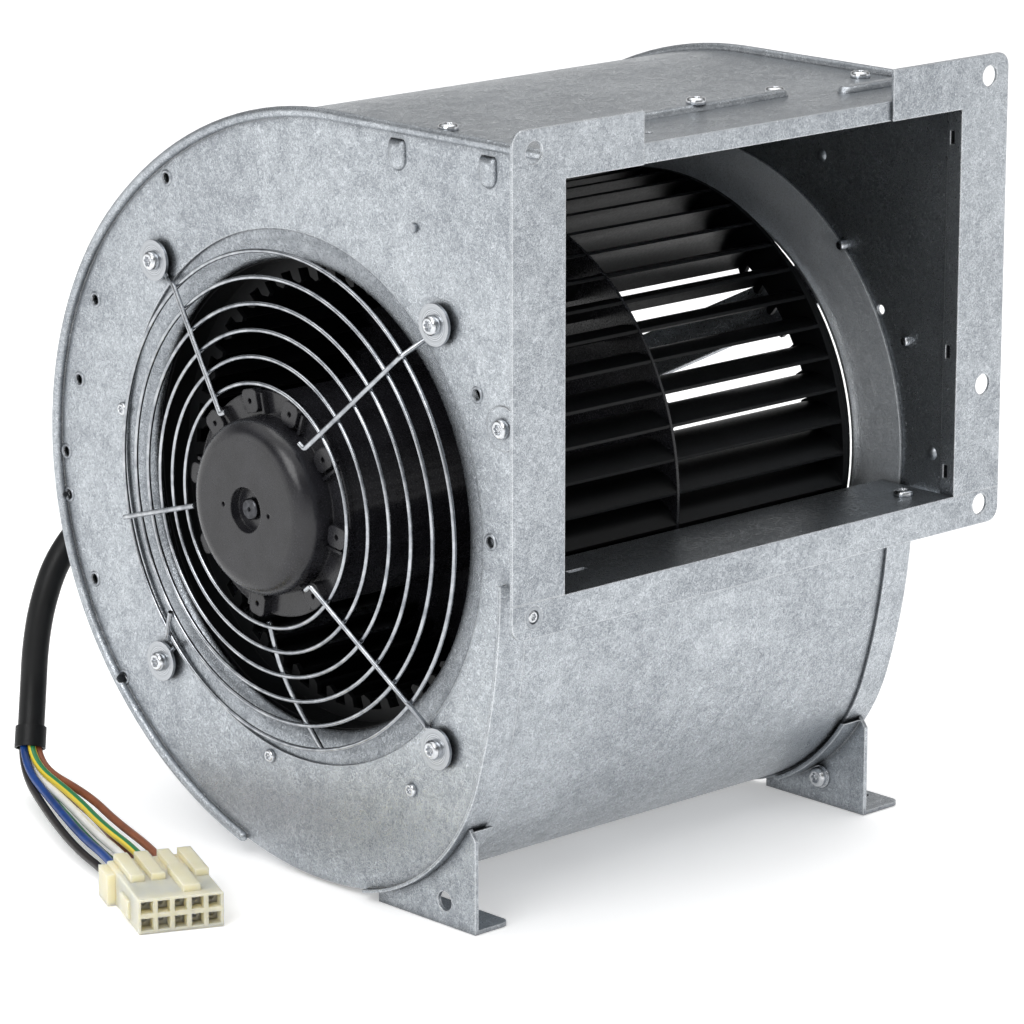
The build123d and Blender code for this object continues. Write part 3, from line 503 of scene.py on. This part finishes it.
# The plug: the middle of its front edge on the floor, its two level directions, and its sockets
PLUG_FRONT = np.array((-177.1, -17.4, 0.0))
PLUG_ACROSS = np.array((0.907, -0.421, 0))
PLUG_INWARD = np.array((0.421, 0.907, 0))
PLUG_PITCH = 6.3
PLUG_COLUMNS = range(-2, 3)
PLUG_ROWS = (3.6, 9.9)
SOCKET_HALF = 2.27
SOCKET_INSET = 5.5
PIT_DEPTH = 1.2
# How far red, green and blue light go into the nylon, as shares of the depth in millimetres
NYLON_GLOW = (1.0, 0.9, 0.65)
NYLON_DEPTH = 8
# Stripes of each colour round the yellow-green wire
STRIPES = 2


class FAN_OT_cord(Operator):
    """Makes the power cord's sheath, its seven wires and their finishes"""
    bl_idname = "fan.cord"
    bl_label = "Power Cord"

    def execute(self, context):
        look = context.scene.fan_cord
        # Extruded PVC: matt black with a faint orange peel
        pvc = moulded("extruded_black_pvc", "131415", "0b0c0d", 0.44, 0.5, 0.03, 0.25)
        dress("cable_black", pvc)
        sheath = round_cord("power_cord_sheath", SHEATH_ROUTE, look.sheath)
        sheath.data.materials.append(pvc)
        # Moulded nylon: ivory, soft at its edges because a little light goes through it
        nylon = moulded("moulded_ivory_nylon", "efe6c8", "e4d9b6", 0.42, 0.6, 0.01, 0.3, 0.7)
        shader = next(node for node in nylon.node_tree.nodes if node.type == "BSDF_PRINCIPLED")
        shader.inputs["Subsurface Weight"].default_value = 1.0
        shader.inputs["Subsurface Radius"].default_value = NYLON_GLOW
        shader.inputs["Subsurface Scale"].default_value = NYLON_DEPTH * MM
        dress("plug_nylon", nylon)
        spots = [PLUG_FRONT + PLUG_ACROSS * PLUG_PITCH * column + PLUG_INWARD * SOCKET_INSET + (0, 0, rise)
                 for column in PLUG_COLUMNS for rise in PLUG_ROWS]
        pits = stand(socket_floor(SOCKET_HALF, PIT_DEPTH), spots, -PLUG_INWARD)
        floors = skin("plug_socket_floors", pits)
        add_piece(floors, nylon, "housing", "plug_nylon")
        # Extruded PVC wire insulation: smooth, slightly glossy
        for name, route in WIRE_ROUTES.items():
            wire = round_cord(name + "_cord", route, look.wire)
            bright, dark = WIRE_TONES[name]
            finish = striped if "yellow" in name else moulded
            wire.data.materials.append(finish("pvc_" + name, bright, dark, 0.36, 0.4, 0.01))
            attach(wire, "housing")
            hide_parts(name)
        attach(sheath, "housing")
        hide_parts("cable_sheath")
        # Tinned brass: pale yellow, nearly smooth
        dress("plug_brass", drawn_metal("tinned_brass_contacts", "c9b27a", "a8925e", 0.3, 1.0))
        return {"FINISHED"}


# Along the housing and up from the shaft
TONGUE_PLACES = ((-56.0, 134.0), (FRONT + 35, 134.0))
SEAM_PLACES = ((101, 16.5), (17, -102.5), (-62, -97.5))
VENT_PLACES = ((73, 109.5), (117, 56.5), (128, 23.5), (137, -6.5), (136, -23.5), (121, -54.5), (104, -90.5),
               (FRONT + 41, 55.5), (FRONT + 34, 3.5), (FRONT + 21, 136.5))
# Roof ribs: across, back from the flange, and length
RIB_PLACES = ((-42, 37, 84), (66, 26, 28))
RIB_HALF = 3.4
RIB_HEIGHT = 2.3
TONGUE_HALF, TONGUE_LENGTH, TONGUE_LIFT = 4.4, 7.0, 1.8
# A vent's rim: radius and height of each row of its profile
VENT_RIM = ((2.0, -0.4), (2.0, 0.25), (2.25, 0.5), (2.7, 0.5), (3.05, 0.25), (3.25, -0.4))
SIDES = ((-1, "near"), (1, "far"))


def on_plate(side, places):
    """Spots on the outer face of a side plate."""
    return [(side * PLATE_OUT, y, SHAFT_HEIGHT + rise) for y, rise in places]


class FAN_OT_sheet_metal(Operator):
    """Gives the housing, the nozzles, the feet and the support their zinc"""
    bl_idname = "fan.sheet_metal"
    bl_label = "Sheet Metal"

    def execute(self, context):
        look = context.scene.fan_sheet
        # Hot dip zinc: fine grey crystals, half dull and half mirror
        sheet = spangled("hot_dip_galvanised_sheet", look.zinc_bright, look.zinc_dark, object_place,
                         0.22, 0.4, look.spangle, 0.92)
        dress("galvanised_sheet", sheet)
        # The same zinc stretched over the bell of the nozzle: glossier, clouded along the draw
        nozzle = spangled("drawn_galvanised_bell", "b4b9be", "74797f", turned_place,
                          0.2, 0.34, look.spangle, 0.85)
        dress("galvanised_nozzle", nozzle)
        # Zinc dulled by setting: grey rivets, hole rims and insert
        dull = drawn_metal("dull_zinc_rivet", "b4b8bd", "80858b", 0.34, 1.0)
        tongue = pressed(TONGUE_HALF, TONGUE_LENGTH, TONGUE_LIFT, square_end=True)
        rim = turned_shape(VENT_RIM, 32)
        for side, name in SIDES:
            tongues = stand(tongue, on_plate(side, TONGUE_PLACES), (side, 0, 0))
            add_piece(skin("pressed_tongues_" + name, tongues), sheet, "housing", "galvanised_sheet")
            rims = stand(rim, on_plate(side, VENT_PLACES), (side, 0, 0))
            add_piece(skin("vent_rims_" + name, rims, closed_rows=True), dull, "housing", "galvanised_sheet")
        ribs = [stand(pressed(RIB_HALF, length, RIB_HEIGHT), [(x, FRONT + y, ROOF_TOP)], (0, 0, 1), (1, 0, 0))
                for x, y, length in RIB_PLACES]
        add_piece(skin("roof_ribs", np.concatenate(ribs)), sheet, "housing", "galvanised_sheet")
        for name in ("wall_rivets", "frame_insert"):
            NODES[name].data.materials[0] = dull
        # The far bell: a lit copy of the bell's drawn zinc, painted paler as painted light and made less
        # mirror like, where the light from behind strikes it
        NODES["nozzle_far"].data.materials[0] = spangled(
            "drawn_galvanised_bell_far_painted_light", "dfe3e7", "a4a9ae", turned_place, 0.22, 0.36, look.spangle, 0.4)
        return {"FINISHED"}


# Star screws: radius and height of the head, radius and length of the shank
LONG_SCREW = (3.75, 2.8, 2.0, 9)
ARM_SCREW = (3.75, 2.8, 2.0, 7)
HUB_SCREW = (3.6, 2.4, 2.0, 8)
FOOT_SCREW = (4.0, 3.0, 2.0, 9)
SHEET_SCREW = (3.75, 2.4, 2.0, 4)
SEAM_SCREW = (2.6, 1.7, 1.6, 2.0)
INSERT_SCREW = (2.45, 1.6, 1.5, 2.0)
# Where their heads sit
GUARD_SPOTS = [(-107.8,) + polar(MOUNT_R, angle) for angle in MOUNT_ANGLES]
ARM_SPOTS = [(107.0,) + polar(MOUNT_R, angle) for angle in MOUNT_ANGLES]
HUB_SPOTS = [(9.0,) + polar(HUB_R, angle) for angle in HUB_ANGLES]
FOOT_SPOTS = [(100.8, -72.0, 11.0)]
PAD_OUT = PLATE_OUT + 0.6
PAD_PLACE = (FRONT + 27.4, SHAFT_HEIGHT + 45.7)
ROOF_SPOTS = [(45, FRONT + 42, ROOF_TOP), (-94, FRONT + 67, ROOF_TOP), (94, FRONT + 45, ROOF_TOP),
              (-1, FRONT + 37, ROOF_TOP + 2.2), (88.9, FRONT + 14.6, SILL_TOP)]
INSERT_SPOTS = [(-115.8, FRONT + 1.7, SILL_TOP - 5.3)]
NEAR, FAR, UP, BACK = (-1, 0, 0), (1, 0, 0), (0, 0, 1), (0, 1, 0)
# Each CAD node that star screws replace: their size, their spots, which way they face, and their upward way
SCREWS = {
    "nozzle_rivets": ((SEAM_SCREW, on_plate(-1, SEAM_PLACES), NEAR, UP),
                      (SEAM_SCREW, on_plate(1, SEAM_PLACES), FAR, UP)),
    "guard_screws": ((LONG_SCREW, GUARD_SPOTS, NEAR, UP),),
    "arm_screws": ((ARM_SCREW, ARM_SPOTS, FAR, UP),),
    "support_screws": ((HUB_SCREW, HUB_SPOTS, FAR, UP),),
    "foot_screw": ((FOOT_SCREW, FOOT_SPOTS, NEAR, UP),),
    "roof_screws": ((SHEET_SCREW, ROOF_SPOTS, UP, BACK),),
    "pad_screws": ((SHEET_SCREW, [(-PAD_OUT,) + PAD_PLACE], NEAR, UP),
                   (SHEET_SCREW, [(PAD_OUT,) + PAD_PLACE], FAR, UP)),
}


class FAN_OT_fittings(Operator):
    """Gives the guard, the screws and the rivets their plated or bare metal"""
    bl_idname = "fan.fittings"
    bl_label = "Guard and Screws"

    def execute(self, context):
        # Stainless wire: drawn bright, glossy with long soft streaks of light
        dress("stainless_wire", drawn_metal("bright_drawn_stainless_wire", "c2c5c9", "85898f", 0.14, 2.5))
        # Zinc plated steel: bright, a little clouded
        plated = drawn_metal("zinc_plated_screw_steel", "e0e2e5", "b8bbbf", 0.16, 1.2)
        dress("zinc_screws", plated)
        # Turned steel: fine rings that catch the light
        rings = turned_washer("turned_steel_washer", "c2c5c9", "8f9397", 0.35)
        NODES["guard_washers"].data.materials[0] = rings
        for node, sets in SCREWS.items():
            grids = [stand(star_screw(*size), spots, axis, up) for size, spots, axis, up in sets]
            add_piece(skin("star_" + node, np.concatenate(grids)), plated, "housing", "zinc_screws", node)
        insert = stand(star_screw(*INSERT_SCREW), INSERT_SPOTS, (0, -1, 0))
        add_piece(skin("star_insert_screw", insert), plated, "housing", "zinc_screws")
        return {"FINISHED"}


class FAN_OT_wheel(Operator):
    """Gives the wheel its glass filled polyamide and the rotor its paint"""
    bl_idname = "fan.wheel"
    bl_label = "Wheel and Motor"

    def execute(self, context):
        # Glass filled polyamide: near black, a dull sheen with fine pores
        dress("wheel_plastic", moulded("glass_filled_polyamide", "0f1012", "08090a", 0.42, 0.5, 0.02, 0.2))
        # Dip paint on the rotor: black, satin, slightly uneven
        paint = moulded("black_dip_painted_steel", "26262a", "19191c", 0.24, 0.35, 0.015, 0.45, 0.8)
        dress("rotor_paint", paint)
        # Ground steel: bright and even
        dress("bearing_steel", drawn_metal("ground_bearing_steel", "c4c5c8", "9a9b9e", 0.18, 0.8))
        # Oiled steel: dark grey with a wet gloss
        shaft = drawn_metal("oiled_shaft_steel", "55565a", "37383b", 0.3, 0.8)
        NODES["motor_shaft"].data.materials[0] = shaft
        # Silicon steel stampings: mid grey, dull
        dress("stator_steel", drawn_metal("stamped_silicon_steel", "7d7e80", "5c5d5f", 0.4, 0.8))
        # Enamelled copper: dark orange, glossy
        dress("copper", drawn_metal("enamelled_copper_wire", "b8652f", "8f4718", 0.25, 0.6))
        # Die cast aluminium: pale and matt, with a rough cast skin
        dress("cast_aluminium", drawn_metal("die_cast_aluminium", "c2c4c6", "9fa1a4", 0.42, 0.8, 0.03))
        return {"FINISHED"}


FLOOR_REACH = 4
FLOOR_ROWS = 5
FLOOR_DROP = 0.0002
# The studio as the metal mirrors it, by how steeply the view goes up: pale walls that fade into a dark band,
# then a pale ceiling
WALL_FADE = (0.1, 0.34)
DARK_BAND = 0.16
CEILING_RISE = (0.55, 0.8)
CEILING = 1.1
# Lamps: place and side length in metres, and share of the key lamp's power
LAMPS = {
    "key_softbox": ((-1.45, -0.4, 1.2), 1.0, 1.0),
    "top_softbox": ((0.3, 0.2, 1.9), 1.4, 0.7),
    "side_softbox": ((1.3, -1.3, 0.8), 0.9, 0.12),
    "back_softbox": ((-1.35, 1.05, 0.4), 0.7, 0.1),
}
LAMPS_AIM = Vector((0, 0, 0.14))
WHITE = (1, 1, 1, 1)


class FAN_OT_stage(Operator):
    """Lays the pale floor and sets the soft studio light"""
    bl_idname = "fan.stage"
    bl_label = "Floor and Light"

    def execute(self, context):
        look = context.scene.fan_studio
        span = np.linspace(-FLOOR_REACH, FLOOR_REACH, FLOOR_ROWS)
        x, y = np.meshgrid(span, span)
        grid = np.stack((x.ravel(), y.ravel(), np.full(x.size, -FLOOR_DROP)), 1)
        step = np.arange(FLOOR_ROWS - 1)
        corner = (step[:, None] * FLOOR_ROWS + step).ravel()
        squares = np.stack((corner, corner + 1, corner + FLOOR_ROWS + 1, corner + FLOOR_ROWS), 1)
        mesh = bpy.data.meshes.new("studio_floor")
        mesh.from_pydata(grid.tolist(), [], squares.tolist())
        floor = bpy.data.objects.new("studio_floor", mesh)
        context.scene.collection.objects.link(floor)
        # Seamless paper: matt white with a faint pulp
        material, tree = new_tree("seamless_white_paper")
        pulp = grain(tree, object_place(tree), 6.0)
        paper = add_node(tree, "ShaderNodeBsdfPrincipled", {
            "Base Color": tuple(look.floor) + (1.0,), "Roughness": spread(tree, pulp, 0.85, 0.95)})
        path = add_node(tree, "ShaderNodeLightPath")
        mirrored = add_node(tree, "ShaderNodeMath", {0: path.outputs["Is Glossy Ray"], 1: look.mirror_lift},
                            operation="MULTIPLY")
        lift = add_node(tree, "ShaderNodeMath", {0: path.outputs["Is Camera Ray"], 1: look.floor_lift,
                                                 2: mirrored.outputs[0]}, operation="MULTIPLY_ADD")
        glow = add_node(tree, "ShaderNodeEmission", {"Color": WHITE, "Strength": lift.outputs[0]})
        both = add_node(tree, "ShaderNodeAddShader", {0: paper.outputs[0], 1: glow.outputs[0]})
        add_node(tree, "ShaderNodeOutputMaterial", {"Surface": both.outputs[0]})
        mesh.materials.append(material)

        world = bpy.data.worlds.new("studio_world")
        world.use_nodes = True
        tree = world.node_tree
        tree.nodes.clear()
        path = add_node(tree, "ShaderNodeLightPath")
        view = add_node(tree, "ShaderNodeTexCoord").outputs["Generated"]
        rise = add_node(tree, "ShaderNodeSeparateXYZ", {0: view}).outputs[2]
        walls = spread(tree, rise, look.fill, DARK_BAND * look.fill, *WALL_FADE)
        ceiling = spread(tree, rise, 0, CEILING * look.fill, *CEILING_RISE)
        room = add_node(tree, "ShaderNodeMath", {0: walls, 1: ceiling}, operation="ADD").outputs[0]
        even = add_node(tree, "ShaderNodeBackground", {"Color": WHITE, "Strength": room})
        seen = add_node(tree, "ShaderNodeBackground", {"Color": WHITE, "Strength": 1.0})
        shaders = {0: path.outputs["Is Camera Ray"], 1: even.outputs[0], 2: seen.outputs[0]}
        mixed = add_node(tree, "ShaderNodeMixShader", shaders)
        add_node(tree, "ShaderNodeOutputWorld", {"Surface": mixed.outputs[0]})
        context.scene.world = world

        for name, (spot, size, share) in LAMPS.items():
            data = bpy.data.lights.new(name, "AREA")
            data.shape = "SQUARE"
            data.size = size
            data.energy = look.key * share
            lamp = bpy.data.objects.new(name, data)
            lamp.location = spot
            lamp.rotation_euler = (LAMPS_AIM - Vector(spot)).to_track_quat("-Z", "Y").to_euler()
            context.scene.collection.objects.link(lamp)
        context.scene.view_settings.view_transform = "Standard"
        return {"FINISHED"}


class FAN_PT_panel(Panel):
    """Lists the fan's pieces in the sidebar"""
    bl_label = "Fan"
    bl_idname = "FAN_PT_panel"
    bl_space_type = "VIEW_3D"
    bl_region_type = "UI"
    bl_category = "Fan"

    def draw(self, context):
        for group in ("fan_sheet", "fan_cord", "fan_studio"):
            settings = getattr(context.scene, group)
            for name in settings.__annotations__:
                self.layout.prop(settings, name)
        for operator in OPERATORS:
            self.layout.operator(operator.bl_idname)


OPERATORS = (FAN_OT_camera, FAN_OT_cord, FAN_OT_fittings, FAN_OT_sheet_metal, FAN_OT_wheel, FAN_OT_stage)
GROUPS = {"fan_sheet": FanSheetLook, "fan_cord": FanCordLook, "fan_studio": FanStudioLook}


def register():
    """Registers every class and hangs the settings on the scene."""
    for name, group in GROUPS.items():
        bpy.utils.register_class(group)
        setattr(bpy.types.Scene, name, PointerProperty(type=group))
    for made in OPERATORS + (FAN_PT_panel,):
        bpy.utils.register_class(made)


def unregister():
    """Takes everything off again."""
    for made in (FAN_PT_panel,) + OPERATORS[::-1]:
        bpy.utils.unregister_class(made)
    for name, group in GROUPS.items():
        delattr(bpy.types.Scene, name)
        bpy.utils.unregister_class(group)


def main():
    """Registers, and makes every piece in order."""
    register()
    for operator in OPERATORS:
        group, name = operator.bl_idname.split(".")
        getattr(getattr(bpy.ops, group), name)()


if __name__ == "__main__":
    main()
